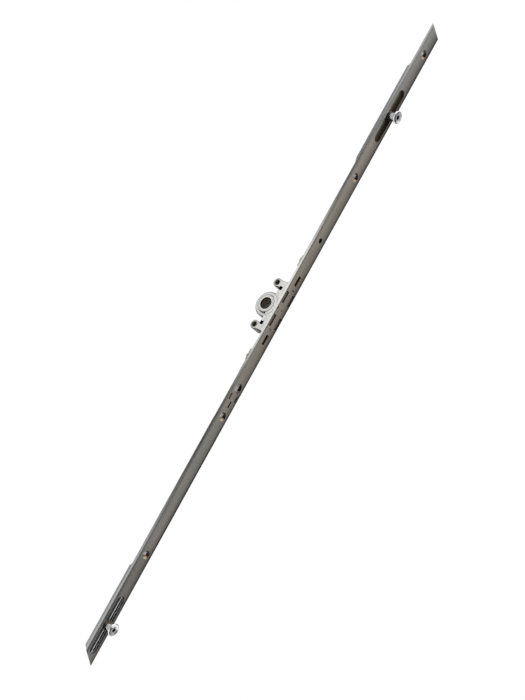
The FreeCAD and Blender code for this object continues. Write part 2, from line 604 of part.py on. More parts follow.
def make_lower_rod():
    body = new_body("lower_drive_rod")
    narrow, wide, neck = "(Size.rod_width / 2)", HALF_PLATE, "(Size.rod_neck_width / 2)"
    blade = "(Size.lower_blade_reach - Size.lower_cam_depth)"
    reach = "(Size.clip_slot_length / 2 + Size.travel + 1.2)"
    neck_top = f"(-Size.clip_slot_depth + {reach})"
    neck_low = f"(-Size.clip_slot_depth - {reach})"
    step = "(Size.rod_width - Size.rod_neck_width) / 2"

    right = [(narrow, f"-{ROD_START}"), (narrow, f"{neck_top} + {step}"), (neck, neck_top),
             (neck, neck_low), (narrow, f"{neck_low} - {step}"), (narrow, f"{blade} + Size.blade_taper"),
             (wide, blade), (wide, f"Size.bottom_slant - {PLATE_BOTTOM}")]
    strip = new_sketch(body, "XZ_Plane", ROD_LAYER)
    draw_outline(strip, right + [(f"-({x})", z) for x, z in reversed(right)])
    grow(body, strip, "Size.rod_thickness")

    # The lower end is cut in the same slanting stroke as the faceplate
    shift = f"({ROD_FRONT} + Size.backset) * {BEVEL_RATE}"
    tail = new_sketch(body, "XZ_Plane", f"-{ROD_FRONT}")
    draw_outline(tail, [(wide, blade), (wide, f"{shift} - {PLATE_BOTTOM} - Size.bottom_slant"),
                        (f"-{wide}", f"{shift} - {PLATE_BOTTOM}"), (f"-{wide}", blade)])
    shear(grow(body, tail, "Size.rod_thickness"))

    openings = new_sketch(body, "XZ_Plane", ROD_LAYER)
    for height in ("-Size.lower_screw_depth", "-Size.bottom_screw_depth"):
        draw_slot(openings, "0", f"{height} - {SLOT_REACH} + Size.rod_slot_width / 2",
                  f"{height} + {SLOT_REACH} - Size.rod_slot_width / 2", "Size.rod_slot_width")
    draw_circle(openings, "0", "-Size.lower_cam_depth", "Size.tenon_diameter + 2 * Size.bearing_clearance")
    cut(body, openings, "Size.rod_thickness", True)
    return body


# Cams: an eccentric stud riveted in the rod, a mushroom roller that turns on it, a collar
# that slides in the faceplate's slot, and a washer under the riveted end
CAM_PLACES = {"upper": ("Size.upper_cam_height", "+"), "lower": ("-Size.lower_cam_depth", "-")}
COLLAR_TOP = "(-Size.backset - Size.collar_rise)"
HEAD_TOP = "(-Size.backset - Size.head_rise)"


def make_stud(where):
    height, sign = CAM_PLACES[where]
    body = new_body(f"{where}_cam_stud")
    gap = "Size.bearing_clearance"
    tenon, flange = "Size.tenon_diameter / 2", "Size.flange_diameter / 2"
    washer_back = f"({ROD_BACK} + Size.washer_thickness + {gap})"
    rivet = "Size.tenon_head_diameter / 2"
    foot = new_sketch(body, "XY_Plane", height)
    draw_outline(foot, [("0", COLLAR_TOP), (flange, COLLAR_TOP), (flange, f"{ROD_FRONT} - {gap}"),
                        (tenon, f"{ROD_FRONT} - {gap}"), (tenon, washer_back), (rivet, washer_back),
                        (rivet, f"{washer_back} + Size.tenon_head_height"),
                        ("0", f"{washer_back} + Size.tenon_head_height")])
    turn(body, foot)
    journal, head = "Size.journal_diameter / 2", "Size.stud_head_diameter / 2"
    seat = f"({HEAD_TOP} + Size.stud_head_depth - {gap})"
    top = new_sketch(body, "XY_Plane", f"{height} {sign} Size.cam_offset")
    draw_outline(top, [("0", f"{HEAD_TOP} + {gap}"), (head, f"{HEAD_TOP} + {gap}"), (head, seat),
                       (journal, seat), (journal, f"{COLLAR_TOP} + 0.5"), ("0", f"{COLLAR_TOP} + 0.5")])
    turn(body, top)

    socket = new_sketch(body, "XZ_Plane", f"-({HEAD_TOP} + {gap})")
    corner = "(Size.key_socket / sqrt(3))"
    corners = [(f"{corner} * cos({angle} deg)", f"{height} {sign} Size.cam_offset + {corner} * sin({angle} deg)")
               for angle in range(15, 375, 60)]
    draw_outline(socket, corners)
    cut(body, socket, "Size.key_socket_depth")
    return body


def make_roller(where):
    height, sign = CAM_PLACES[where]
    body = new_body(f"{where}_cam_roller")
    gap = "Size.bearing_clearance"
    bore = f"(Size.journal_diameter / 2 + {gap})"
    seat = f"(Size.stud_head_diameter / 2 + {gap})"
    neck, head = "Size.neck_diameter / 2", "Size.head_diameter / 2"
    low = f"({COLLAR_TOP} - 2 * {gap})"
    under = f"({HEAD_TOP} + Size.head_thickness)"
    seat_level = f"{HEAD_TOP} + Size.stud_head_depth"
    profile = new_sketch(body, "XY_Plane", f"{height} {sign} Size.cam_offset")
    draw_outline(profile, [(bore, low), (neck, low), (neck, f"{under} + Size.flare_height"),
                           (f"{head} - 0.7", under), (head, under), (head, f"{HEAD_TOP} + Size.head_chamfer"),
                           (f"{head} - Size.head_chamfer", HEAD_TOP), (seat, HEAD_TOP),
                           (seat, seat_level), (bore, seat_level)])
    turn(body, profile)
    return body


def make_ring(label, height, inner, outer, layer, thickness):
    """Flat ring round the tenon's axis."""
    body = new_body(label)
    sketch = new_sketch(body, "XZ_Plane", layer)
    draw_circle(sketch, "0", height, outer)
    draw_circle(sketch, "0", height, inner)
    grow(body, sketch, thickness)
    return body


# Rivets: only their heads are modelled, seated on the piece that they close
def make_rivet_heads(label, places, axis):
    """Round heads along an axis, each given by the expressions of its foot."""
    heads = []
    turned = FreeCAD.Rotation(FreeCAD.Vector(0, 0, 1), axis)
    for place in places:
        head = doc.addObject("Part::Cylinder", "Head")
        head.setExpression("Radius", "Size.rivet_head / 2")
        head.setExpression("Height", "Size.rivet_head_height")
        head.Placement = FreeCAD.Placement(FreeCAD.Vector(), turned)
        for coordinate, expression in zip("xyz", place):
            head.setExpression(f"Placement.Base.{coordinate}", expression)
        heads.append(head)
    group = doc.addObject("Part::Compound", label)
    group.Label = label
    group.Links = heads
    return group


def make_housing_rivets():
    places = [("Size.casing_thickness / 2", "-Size.rivet_distance", f"{sign}{height}")
              for sign in ("", "-") for height in ("Size.inner_rivet_height", "Size.outer_rivet_height")]
    return make_rivet_heads("housing_rivets", places, FreeCAD.Vector(1, 0, 0))


def make_lap_rivets(label, sign):
    height = f"{sign}({ROD_START} + {LAP_END}) / 2"
    places = [(f"{side}Size.lap_rivet_offset", LAP_BACK, height) for side in ("-", "")]
    return make_rivet_heads(label, places, FreeCAD.Vector(0, 1, 0))


# Guides: black nylon pieces that hold the rods against the faceplate
GUIDE_FACE = f"({ROD_BACK} + Size.slide_gap)"
GUIDE_BACK = f"({GUIDE_FACE} + Size.guide_thickness)"
GUIDE_TIP = "(Size.stud_recess - Size.backset)"


def make_upper_guide():
    """A plate behind the rod, on a stud that passes the rod's slot into the faceplate."""
    body = new_body("upper_rod_guide")
    block = new_sketch(body, "XZ_Plane", f"-{GUIDE_BACK}")
    draw_box(block, "0 * Size.guide_width", "Size.stud_height - Size.guide_lead + Size.guide_length / 2",
             "Size.guide_width", "Size.guide_length")
    grow(body, block, "Size.guide_thickness")
    level = value(GUIDE_BACK)
    dress(body, "Chamfer", lambda edge: all(near(v.Point.y, level) for v in edge.Vertexes),
          "Size.guide_thickness / 3")
    stud = new_sketch(body, "XZ_Plane", f"-({GUIDE_BACK} - 0.5)")
    draw_circle(stud, "0", "Size.stud_height", "Size.stud_hole - Size.guide_fit")
    grow(body, stud, f"{GUIDE_BACK} - 0.5 - {GUIDE_TIP}")
    return body


def make_lower_guide():
    """A clip round the rod's neck, with a leg each side that is pressed into the faceplate.
    Its back runs on as a leaf that closes the view hole beside the rod."""
    body = new_body("lower_rod_guide")
    outside = "(Size.clip_slot_offset + (Size.clip_slot_width - Size.guide_fit) / 2)"
    inside = "(Size.clip_slot_offset - (Size.clip_slot_width - Size.guide_fit) / 2)"
    shoulder = f"({GUIDE_FACE} - Size.guide_thickness / 4)"
    long = "(Size.clip_slot_length - Size.guide_fit)"
    clip = new_sketch(body, "XY_Plane", f"-Size.clip_slot_depth - {long} / 2")
    right = [(inside, GUIDE_FACE), (inside, GUIDE_TIP), (outside, GUIDE_TIP), (outside, shoulder),
             (f"{inside} - Size.guide_thickness / 5", GUIDE_BACK)]
    draw_outline(clip, right + [(f"-({x})", y) for x, y in reversed(right)])
    grow(body, clip, long)
    leaf = new_sketch(body, "XZ_Plane", f"-{GUIDE_BACK}")
    low = f"-Size.clip_slot_depth - {long} / 2"
    high = "Size.view_hole / 2 + 1.5 - Size.view_hole_depth"
    draw_outline(leaf, [("0", low), ("Size.leaf_width", low), ("Size.leaf_width", high), ("0", high)])
    grow(body, leaf, "Size.guide_thickness")
    return body


parts = [make_faceplate(), make_casing_half("gearbox_cover", -1), make_casing_half("gearbox_housing", 1),
         make_housing_rivets(), make_upper_guide(), make_lower_guide(), make_nut(), make_rack(),
         make_upper_rod(), make_lower_rod(), make_lap_rivets("upper_rack_rivets", ""),
         make_lap_rivets("lower_rack_rivets", "-")]
for where, (height, sign) in CAM_PLACES.items():
    parts.append(make_stud(where))
    parts.append(make_roller(where))
    parts.append(make_ring(f"{where}_cam_collar", height, "Size.flange_diameter + 2 * Size.bearing_clearance",
                           "Size.collar_diameter", f"-{ROD_FRONT}",
                           f"{ROD_FRONT} - {COLLAR_TOP}"))
    parts.append(make_ring(f"{where}_cam_washer", height, "Size.tenon_diameter + 2 * Size.bearing_clearance",
                           "Size.washer_diameter", f"-({ROD_BACK} + Size.washer_thickness)",
                           "Size.washer_thickness"))
doc.recompute()

for item in doc.Objects:
    if "Invalid" in item.State or "Error" in item.State:
        raise ValueError(f"{item.Name} failed: {item.State}")
for part in parts:
    if part.Shape.isNull() or not part.Shape.isValid() or not part.Shape.Solids:
        raise ValueError(f"{part.Label} has no valid solid")

os.makedirs("parts", exist_ok=True)
for part in parts:
    part.Shape.exportStep(f"parts/{part.Label}.step")
    box = part.Shape.BoundBox
    print(f"{part.Label}: {len(part.Shape.Solids)} solid(s), {part.Shape.Volume:.0f} mm3, "
          f"{box.XLength:.1f} x {box.YLength:.1f} x {box.ZLength:.1f}")
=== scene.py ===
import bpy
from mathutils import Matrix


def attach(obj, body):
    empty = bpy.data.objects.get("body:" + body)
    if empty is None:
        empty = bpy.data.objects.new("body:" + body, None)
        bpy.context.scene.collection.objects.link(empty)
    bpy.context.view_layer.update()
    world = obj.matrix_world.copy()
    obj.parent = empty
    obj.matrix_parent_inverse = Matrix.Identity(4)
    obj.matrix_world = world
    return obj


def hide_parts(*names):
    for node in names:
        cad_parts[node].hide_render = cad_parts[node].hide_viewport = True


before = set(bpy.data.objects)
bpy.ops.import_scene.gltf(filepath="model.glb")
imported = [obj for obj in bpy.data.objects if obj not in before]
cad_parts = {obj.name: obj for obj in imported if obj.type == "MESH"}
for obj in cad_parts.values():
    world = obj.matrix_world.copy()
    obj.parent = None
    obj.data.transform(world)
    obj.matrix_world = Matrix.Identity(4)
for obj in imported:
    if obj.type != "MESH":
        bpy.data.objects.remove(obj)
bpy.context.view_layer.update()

import math

import bmesh
import bpy
from mathutils import Matrix, Vector


# Faceplate: 16 x 2.5 mm strip of cold-rolled steel, punched in a press and then
# zinc plated. The front is handled and dulled to a warm grey, the cut walls of its
# openings are brown and tan with painted shade that turns them black deeper in and on
# the right, and the long edges are smooth and bluish, painted brighter than the front
# as a painted reflection, the right one painted dark as painted shade.
class Wire:
    """A socket in a material. Arithmetic on it adds the Math nodes."""

    def __init__(self, tree, socket):
        self.tree, self.socket = tree, socket

    def node(self, kind, settings=None, given=None, out=0):
        """Adds a node of that type, makes its settings first, then fills its sockets."""
        made = self.tree.nodes.new("ShaderNode" + kind)
        for name, setting in (settings or {}).items():
            setattr(made, name, setting)
        for name, value in (given or {}).items():
            if isinstance(value, Wire):
                self.tree.links.new(value.socket, made.inputs[name])
            else:
                made.inputs[name].default_value = value
        return Wire(self.tree, made.outputs[out]) if made.outputs else None

    def maths(self, operation, *others):
        """A Math node on this value and the others, in that order."""
        values = dict(enumerate((self, *others)))
        return self.node("Math", {"operation": operation}, values)

    def turned(self, operation, other):
        """A Math node with the other value first."""
        return self.node("Math", {"operation": operation}, {0: other, 1: self})

    def __add__(self, other):
        return self.maths("ADD", other)

    def __sub__(self, other):
        return self.maths("SUBTRACT", other)

    def __rsub__(self, other):
        return self.turned("SUBTRACT", other)

    def __mul__(self, other):
        return self.maths("MULTIPLY", other)

    def __truediv__(self, other):
        return self.maths("DIVIDE", other)

    def __rtruediv__(self, other):
        return self.turned("DIVIDE", other)

    __radd__, __rmul__ = __add__, __mul__

    def across(self):
        """The x, y and z of a position."""
        split = self.node("SeparateXYZ", None, {0: self})
        outputs = split.socket.node.outputs
        return [Wire(self.tree, outputs[i]) for i in range(3)]

    def scaled(self, x, y, z):
        """The position with each direction multiplied by its own number."""
        return self.node("VectorMath", {"operation": "MULTIPLY"}, {0: self, 1: (x, y, z)})

    def noise(self, size, detail=3.0, **more):
        """Soft random value from 0 to 1, with features about that size in metres."""
        given = {"Vector": self, "Scale": 1 / size, "Detail": detail, **more}
        return self.node("TexNoise", None, given)

    def step(self, low, high):
        """0 below low, 1 above high, smooth between them."""
        given = {"Value": self, "From Min": low, "From Max": high}
        return self.node("MapRange", {"interpolation_type": "SMOOTHSTEP"}, given)

    def size(self):
        """The value without its sign."""
        return self.maths("ABSOLUTE")

    def aside(self, other):
        """How far a place with these two coordinates is from the axis they start at."""
        return (self * self + other * other).maths("SQRT")

    def within(self, low, high, soft):
        """1 from low to high, with soft borders outside them."""
        return self.step(low - soft, low) * (1 - self.step(high, high + soft))


def tint(share, one, other):
    """Colour that goes from one to the other as share goes from 0 to 1."""
    pair = [colour if isinstance(colour, Wire) else (*colour, 1.0) for colour in (one, other)]
    return share.node("Mix", {"data_type": "RGBA"}, {0: share, 6: pair[0], 7: pair[1]}, 2)


def finish(name):
    """New material, and the place on its object as its first value."""
    material = bpy.data.materials.new(name)
    material.use_nodes = True
    material.node_tree.nodes.clear()
    start = Wire(material.node_tree, None)
    return material, start.node("TexCoord", None, None, "Object")


def surface(place, colour, roughness, height, metallic=1.0, **own):
    """The shader: what varies is linked, what is the same all over is set on its sockets."""
    bumps = place.node("Bump", None, {"Height": height, "Strength": 1.0, "Distance": 1.0})
    given = {"Base Color": colour, "Roughness": roughness, "Metallic": metallic,
             "Normal": bumps}
    given.update({name.replace("_", " "): value for name, value in own.items()})
    shader = place.node("BsdfPrincipled", None, given)
    place.node("OutputMaterial", None, {"Surface": shader})


def dress(material, *names):
    """Gives CAD nodes a finish through their objects' material slots."""
    for name in names:
        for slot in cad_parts[name].material_slots:
            slot.material = material


plate_steel, place = finish("faceplate_steel")
x, y, z = place.across()
left, down = 0 - x, 0 - z
PLATE_FRONT, THICKNESS, HALF_WIDTH = -0.015, 0.0025, 0.008
TOP_END, BOTTOM_END = 0.2950, -0.3411
TOP_SLANT, BOTTOM_SLANT = 4.5 / 16, 11 / 16
depth = y - PLATE_FRONT
front = 1 - depth.step(0.00004, 0.00012)
back = depth.step(THICKNESS - 0.00004, THICKNESS - 0.00001)
edge = x.size().step(HALF_WIDTH - 0.0002, HALF_WIDTH - 0.0001)
top_end = (z + x * TOP_SLANT - TOP_END).step(-0.0001, 0.0001)
bottom_end = (BOTTOM_END - (z + x * BOTTOM_SLANT)).step(-0.0001, 0.0001)
ends = (top_end + bottom_end).maths("MINIMUM", 1)
wall = (1 - front) * (1 - edge) * (1 - ends) * (1 - back)

streaks = place.scaled(1, 1, 0.03).noise(0.0007, 4.0)
bands = place.scaled(1, 1, 0.12).noise(0.004)
clouds = place.scaled(1, 1, 0.5).noise(0.014, 4.0)
tones = place.scaled(1, 1, 0.6).noise(0.023, 2.0)
specks = place.noise(0.0011, 5.0)
body = tint(tones.step(0.35, 0.68), (0.475, 0.465, 0.415), (0.52, 0.46, 0.43))
body = tint(clouds.step(0.36, 0.70) * 0.6, body, (0.40, 0.385, 0.355))
body = tint(streaks.step(0.42, 0.75) * 0.2, body, (0.60, 0.58, 0.54))
body = tint(specks.step(0.60, 0.74) * 0.12, body, (0.20, 0.17, 0.15))

# Where the front is duller, browner or greyer than the rest. The darker right half and right
# rim are painted shade.
lower_half = down.step(0.12, 0.30) * 0.35
shaded_right_half = x.step(0.0030, 0.0056) * 0.38
shaded_right_rim = x.step(0.0052, 0.0067) * 0.93
left_rim_below = left.step(0.0060, 0.0072) * down.step(0.0, 0.08) * 0.6
left_rim_above = left.step(0.0038, 0.0070) * z.step(0.03, 0.08) * 0.5
lower_end = down.step(0.225, 0.262) * 0.38
lower_right = down.step(0.15, 0.19) * x.step(-0.001, 0.005) * 0.25
beside_lower_slot = left.step(0.0044, 0.0060) * down.step(0.25, 0.29) * 0.5
tan_rim = x.within(-0.0079, -0.0070, 0.0001) * z.within(-0.035, 0.115, 0.01) * 0.9
warm_middle = z.within(-0.09, 0.17, 0.04) * 0.35
cool_top = z.step(0.19, 0.25) * 0.35
beside_casing = x.step(0.0020, 0.0060) * z.within(-0.035, 0.035, 0.01) * 0.3
for share, shade in ((lower_half, (0.28, 0.275, 0.26)),
                     (shaded_right_half, (0.24, 0.195, 0.15)),
                     (shaded_right_rim, (0.055, 0.036, 0.026)),
                     (left_rim_below, (0.22, 0.22, 0.21)),
                     (left_rim_above, (0.22, 0.225, 0.22)),
                     (lower_end, (0.14, 0.138, 0.13)),
                     (lower_right, (0.14, 0.125, 0.11)),
                     (beside_lower_slot, (0.10, 0.10, 0.095)),
                     (tan_rim, (0.17, 0.10, 0.065)),
                     (warm_middle, (0.54, 0.465, 0.37)),
                     (cool_top, (0.36, 0.375, 0.365)),
                     (beside_casing, (0.13, 0.095, 0.07))):
    body = tint(share, body, shade)

# Centre dot, the two crescent marks and the nicks in both rims
dots = 1 - x.aside(z).step(0.00065, 0.0010)
dots = dots + z.within(0.0202, 0.0210, 0.0002) * x.within(-0.0015, 0.0030, 0.0006)
dots = dots + z.within(-0.0199, -0.0191, 0.0002) * x.within(-0.0029, -0.0009, 0.0005)
dots = dots + x.size().within(0.0064, 0.0074, 0.0002) * z.within(-0.0009, 0.0012, 0.0003)
dots = dots.maths("MINIMUM", 1)
body = tint(dots, body, (0.045, 0.037, 0.030))

# Walls of the openings: brown in the casing's slots, tan in the windows beyond them
# and black from there on, with painted shade that makes them black deeper in and darker on
# the right-hand walls
LUG_SLOTS_END, WINDOWS_END = 0.0242, 0.0356
rust = place.noise(0.0016, 3.0).step(0.35, 0.65)
tan = tint(rust, (0.50, 0.30, 0.15), (0.30, 0.19, 0.11))
shaded_wall = tint(rust, (0.095, 0.068, 0.052), (0.050, 0.040, 0.033))
beyond_slots = z.size().step(LUG_SLOTS_END, LUG_SLOTS_END + 0.0006)
beyond_windows = z.size().step(WINDOWS_END, WINDOWS_END + 0.0006)
cut = tint(beyond_slots, (0.100, 0.072, 0.054), tan)
cut = tint(beyond_windows, cut, (0.040, 0.036, 0.030))
# Painted shade: black deeper in, and darker on the right-hand walls
cut = tint(depth.step(0.00095, 0.00130), cut, (0.016, 0.012, 0.010))
cut = tint(x.step(0.0028, 0.0032), cut, shaded_wall)

# Walls of the two cam slots, with a stripe where the punch sheared them, painted dark as
# shade elsewhere, and a painted highlight band deep in the lower slot
UPPER_SLOT, LOWER_SLOT = (0.175, 0.234), (-0.340, -0.282)
upper_slot, lower_slot = z.within(*UPPER_SLOT, 0.0005), z.within(*LOWER_SLOT, 0.0005)
sheared = depth.within(0.00030, 0.00115, 0.0002)
stripe = tint(rust, (0.17, 0.105, 0.065), (0.12, 0.080, 0.055))
groove = tint(sheared, (0.020, 0.016, 0.012), stripe)
groove = tint(depth.step(0.00165, 0.00195), groove, (0.075, 0.066, 0.050))
cut = tint(upper_slot, cut, groove)
groove = tint(sheared, (0.016, 0.015, 0.014), (0.105, 0.095, 0.080))
# Painted highlight along the back edge of the lower slot's wall
groove = tint(depth.within(0.00185, 0.00235, 0.0001), groove, (0.62, 0.66, 0.68))
cut = tint(lower_slot, cut, groove)

# Sides: painted brighter than the front as a painted reflection; the right side is painted
# dark brown as painted shade
side = tint(bands.step(0.3, 0.7), (0.66, 0.675, 0.67), (0.72, 0.725, 0.71))
side = tint(edge, (0.42, 0.40, 0.37), side)
side = tint(depth.step(0.0002, 0.0012), (0.50, 0.50, 0.485), side)
side = tint(x.step(0.0060, 0.0072), side, (0.17, 0.14, 0.115))
colour = tint(wall, tint(front, side, body), cut)

# Inside of the round holes, painted light and shade laid out by how far a place is to the
# right as the camera sees it.
# The countersinks hold a painted pale reflection on one flank, painted black shade at the cap
# and on the right, dark painted shade at the rims, a painted orange glint and a painted
# highlight at the foot.
ACROSS_X, ACROSS_DEPTH = 0.60, 0.79
SCREW_HEIGHTS, COUNTERSINK_RADIUS = (0.271, 0.139, -0.1075, -0.244), 0.00418
VIEW_HOLE_HEIGHT, VIEW_HOLE_RADIUS = -0.0793, 0.0047
GUIDE_STUD_HEIGHT, GUIDE_STUD_RADIUS = 0.0725, 0.0030
slant = x * ACROSS_X - depth * ACROSS_DEPTH
spots = place.noise(0.0008, 3.0).step(0.40, 0.60)
for screw_height in SCREW_HEIGHTS:
    rise = z - screw_height
    outside = x.aside(rise).step(COUNTERSINK_RADIUS, COUNTERSINK_RADIUS + 0.00008)
    inside = (1 - outside) * (1 - front)
    black_shade = slant.step(-0.0008, -0.0001) * rise.within(-0.0009, 0.0026, 0.0004)
    glint = slant.within(-0.0003, 0.0014, 0.0002) * rise.within(-0.0019, -0.0011, 0.0003)
    lit_foot = (0 - rise).step(0.0018, 0.0023) * slant.step(-0.0019, -0.0013)
    hole_light_and_shade = tint(spots, (0.60, 0.59, 0.58), (0.24, 0.23, 0.22))
    hole_light_and_shade = tint(rise.step(-0.0014, -0.0008), (0.09, 0.085, 0.075), hole_light_and_shade)
    hole_light_and_shade = tint(rise.step(0.0022, 0.0030), hole_light_and_shade, (0.045, 0.040, 0.033))
    hole_light_and_shade = tint(lit_foot, hole_light_and_shade, (0.42, 0.41, 0.33))
    hole_light_and_shade = tint(slant.step(0.0014, 0.0020), hole_light_and_shade, (0.10, 0.085, 0.07))
    hole_light_and_shade = tint(black_shade, hole_light_and_shade, (0.014, 0.012, 0.012))
    hole_light_and_shade = tint(glint, hole_light_and_shade, (0.50, 0.22, 0.06))
    colour = tint(inside, colour, hole_light_and_shade)
# View hole: dark red-brown, with painted black shade on the right and a pale painted
# highlight below
rise = z - VIEW_HOLE_HEIGHT
outside = x.aside(rise).step(VIEW_HOLE_RADIUS, VIEW_HOLE_RADIUS + 0.0001)
inside = (1 - outside) * (1 - front)
black_shade = slant.step(0.0, 0.0004) * rise.step(-0.0010, 0.0)
glint = slant.within(0.0, 0.0012, 0.0002) * rise.within(-0.0028, -0.0016, 0.0003)
hole_light_and_shade = tint(black_shade, (0.075, 0.048, 0.036), (0.010, 0.010, 0.012))
colour = tint(inside, colour, tint(glint, hole_light_and_shade, (0.66, 0.63, 0.62)))
# Guide stud's hole: painted black inside as shade
rise = z - GUIDE_STUD_HEIGHT
outside = x.aside(rise).step(GUIDE_STUD_RADIUS, GUIDE_STUD_RADIUS + 0.0001)
colour = tint((1 - outside) * (1 - front), colour, (0.012, 0.010, 0.010))

CROWN = -10.0
roughness = 0.10 + front * (0.22 + 0.08 * clouds) + 0.04 * streaks + wall * 0.14
height = x * x * CROWN * front + streaks * 0.000001 + bands * 0.000002 + dots * front * 0.0002
surface(place, colour, roughness, height, metallic=1 - 0.85 * wall, Specular_IOR_Level=0.15)
dress(plate_steel, "faceplate")


# Gearbox casing: two thin zinc die castings that meet on the middle plane. The
# skin is near white and smooth, with painted shade in its corners, along its edges
# and in its holes and cored pockets, and painted dark as shade on its chamfers and
# undersides.
casing_zinc, place = finish("casing_zinc")
x, y, z = place.across()
facing, _, rise = place.node("TexCoord", None, None, "Normal").across()
EAR_HEIGHT, POCKET_HEIGHT, MARK_HEIGHT = 0.0215, 0.0176, 0.0222
POCKET_Y, MARK_Y, PLATE_BACK = -0.0064, -0.0096, -0.0125
BORE_RADIUS, EAR_HOLE_RADIUS, THREAD_PITCH = 0.00574, 0.00214, 0.0008
RIM_EDGE, BOSS_EDGE, BORE_EDGE = (0.01130, 0.01172), (0.00800, 0.00874), (0.00700, 0.00722)
EAR_EDGE, EAR_HOLE_EDGE, STEP_EDGE = (0.0035, 0.0050), (0.00205, 0.00295), (0.00566, 0.00608)
flow = place.scaled(0.6, 1, 1).noise(0.006, 4.0, Distortion=0.6)
stains = place.noise(0.0032, 3.0)
corner = place.node("AmbientOcclusion", {"samples": 8, "only_local": True},
                    {"Distance": 0.0013}, 1)
radius = y.aside(z)
from_ear = y.aside(z.size() - EAR_HEIGHT)
colour = tint(flow.step(0.35, 0.68), (0.90, 0.88, 0.83), (0.84, 0.84, 0.82))
colour = tint(stains.step(0.60, 0.75) * 0.30, colour, (0.60, 0.57, 0.52))

# Painted shade lines round the gear room's rim, the boss, the bore, the ears and their holes
shade_lines = radius.within(*RIM_EDGE, 0.0001) + radius.within(*BOSS_EDGE, 0.0001)
shade_lines = shade_lines + radius.within(*BORE_EDGE, 0.0001)
shade_lines = shade_lines + from_ear.within(*EAR_EDGE, 0.0002) * y.step(-0.0010, 0.0010)
shade_lines = shade_lines + from_ear.within(*EAR_HOLE_EDGE, 0.0002) * 1.5
shade_lines = shade_lines + x.size().within(*STEP_EDGE, 0.0001)
colour = tint(shade_lines.maths("MINIMUM", 1.4) * 0.7, colour, (0.20, 0.19, 0.17))
# Painted shade in the corners, from ambient occlusion
colour = tint((1 - corner.step(0.40, 0.80)) * 0.6, colour, (0.16, 0.15, 0.14))
# Painted shade on the chamfers and on faces that look down
under = (0 - rise).step(0.35, 0.60)
shaded_flank = (facing.size().within(0.40, 0.80, 0.15) + under).maths("MINIMUM", 1)
colour = tint(shaded_flank, colour, (0.075, 0.072, 0.066))
# Painted shadow along the foot of the boss on its lower side
shadow_under_boss = radius.within(0.00850, 0.00890, 0.00006) * (0 - z).step(0.0050, 0.0070)
colour = tint(shadow_under_boss, colour, (0.03, 0.028, 0.026))
marks = (y - MARK_Y).size().step(-0.002, 0.0019)
marks = marks + (z.size() - MARK_HEIGHT).size().step(-0.001, 0.0010)
marks = (1 - marks.maths("MINIMUM", 1)) * stains.step(0.35, 0.60)
colour = tint(marks * 0.6, colour, (0.42, 0.33, 0.26))
seam = 1 - x.size().step(0.00004, 0.00016)
colour = tint(seam * 0.7, colour, (0.22, 0.21, 0.19))

# Bore, threaded ear holes, cored pockets and the lugs that show in the faceplate. The bore
# and pockets are painted dark as shade, the ear holes dark with a painted lit brown wall on
# one side, and the lug ends painted dark brown as shade, darker still on the right.
bore = 1 - radius.step(BORE_RADIUS, BORE_RADIUS + 0.00008)
colour = tint(bore * x.size().step(0.0, 0.0050), colour, (0.05, 0.046, 0.042))
ear_hole = 1 - from_ear.step(EAR_HOLE_RADIUS, EAR_HOLE_RADIUS + 0.00008)
thread = ear_hole * (x * (2 * math.pi / THREAD_PITCH)).maths("SINE")
hole_shade = tint(y.step(0.0006, 0.0016), (0.020, 0.018, 0.017), (0.24, 0.15, 0.10))
colour = tint(ear_hole * 0.95, colour, hole_shade)
pocket = (y - POCKET_Y).size().maths("MAXIMUM", (z.size() - POCKET_HEIGHT).size())
pocket = (1 - pocket.step(0.00180, 0.00190)) * (1 - x.size().step(0.0060, 0.0062))
colour = tint(pocket, colour, (0.012, 0.012, 0.012))
lug = (PLATE_BACK - y).step(0.00005, 0.00025)
lug_shade = tint(x.step(-0.001, 0.001), (0.145, 0.118, 0.098), (0.075, 0.058, 0.046))
colour = tint(lug, colour, lug_shade)
roughness = (0.17 + 0.08 * flow) * (1 - 0.75 * under) + ear_hole * 0.1
metallic = 0.65 - 0.5 * (lug + ear_hole).maths("MINIMUM", 1)
surface(place, colour, roughness, flow * 0.00002 + thread * 0.00012, metallic)
dress(casing_zinc, "gearbox_cover", "gearbox_housing")


# Rivets and washers: cold-headed steel, bright where the tool closed them and dull
# between. Four go through the casing's halves and the others close the rod's joints.
rivet_steel, place = finish("rivet_steel")
turned = place.noise(0.0004, 3.0)
dull = place.noise(0.0019, 3.0)
colour = tint(dull.step(0.4, 0.7), (0.56, 0.55, 0.53), (0.40, 0.39, 0.37))
surface(place, colour, 0.28 + 0.15 * dull, turned * 0.000004)
dress(rivet_steel, "housing_rivets", "upper_rack_rivets", "lower_rack_rivets",
      "upper_cam_washer", "lower_cam_washer")


# Nut: zinc casting with a ring of teeth and the 7 mm square for the handle's
# spindle. Its faces are painted dark as the shade of its recess, browner on one side
# and darkest further out from the square, much darker than the casing round it. The
# square's walls are reddish-brown near the face and green-grey deeper in, and grease darkens
# it in patches.
nut_zinc, place = finish("nut_zinc")
x, y, z = place.across()
NUT_FACE, SQUARE = 0.0045, 0.0040
grease = place.noise(0.0026, 4.0)
grain = place.noise(0.0004, 4.0)
colour = tint(x.step(-0.0032, 0.0004), (0.17, 0.085, 0.055), (0.125, 0.145, 0.12))
# Nut faces: painted dark as shade, browner on one side
face = tint(y.step(-0.003, 0.003), (0.05, 0.05, 0.045), (0.11, 0.062, 0.044))
past_square = y.size().maths("MAXIMUM", z.size()).step(SQUARE, SQUARE + 0.0007)
face = tint(past_square, face, (0.022, 0.020, 0.018))
colour = tint(x.size().step(NUT_FACE, NUT_FACE + 0.0002), colour, face)
colour = tint(grease.step(0.4, 0.7) * 0.4, colour, (0.045, 0.038, 0.030))
surface(place, colour, 0.24 + 0.2 * grease, grain * 0.000004 + grease * 0.00003, metallic=0.4)
dress(nut_zinc, "drive_nut")


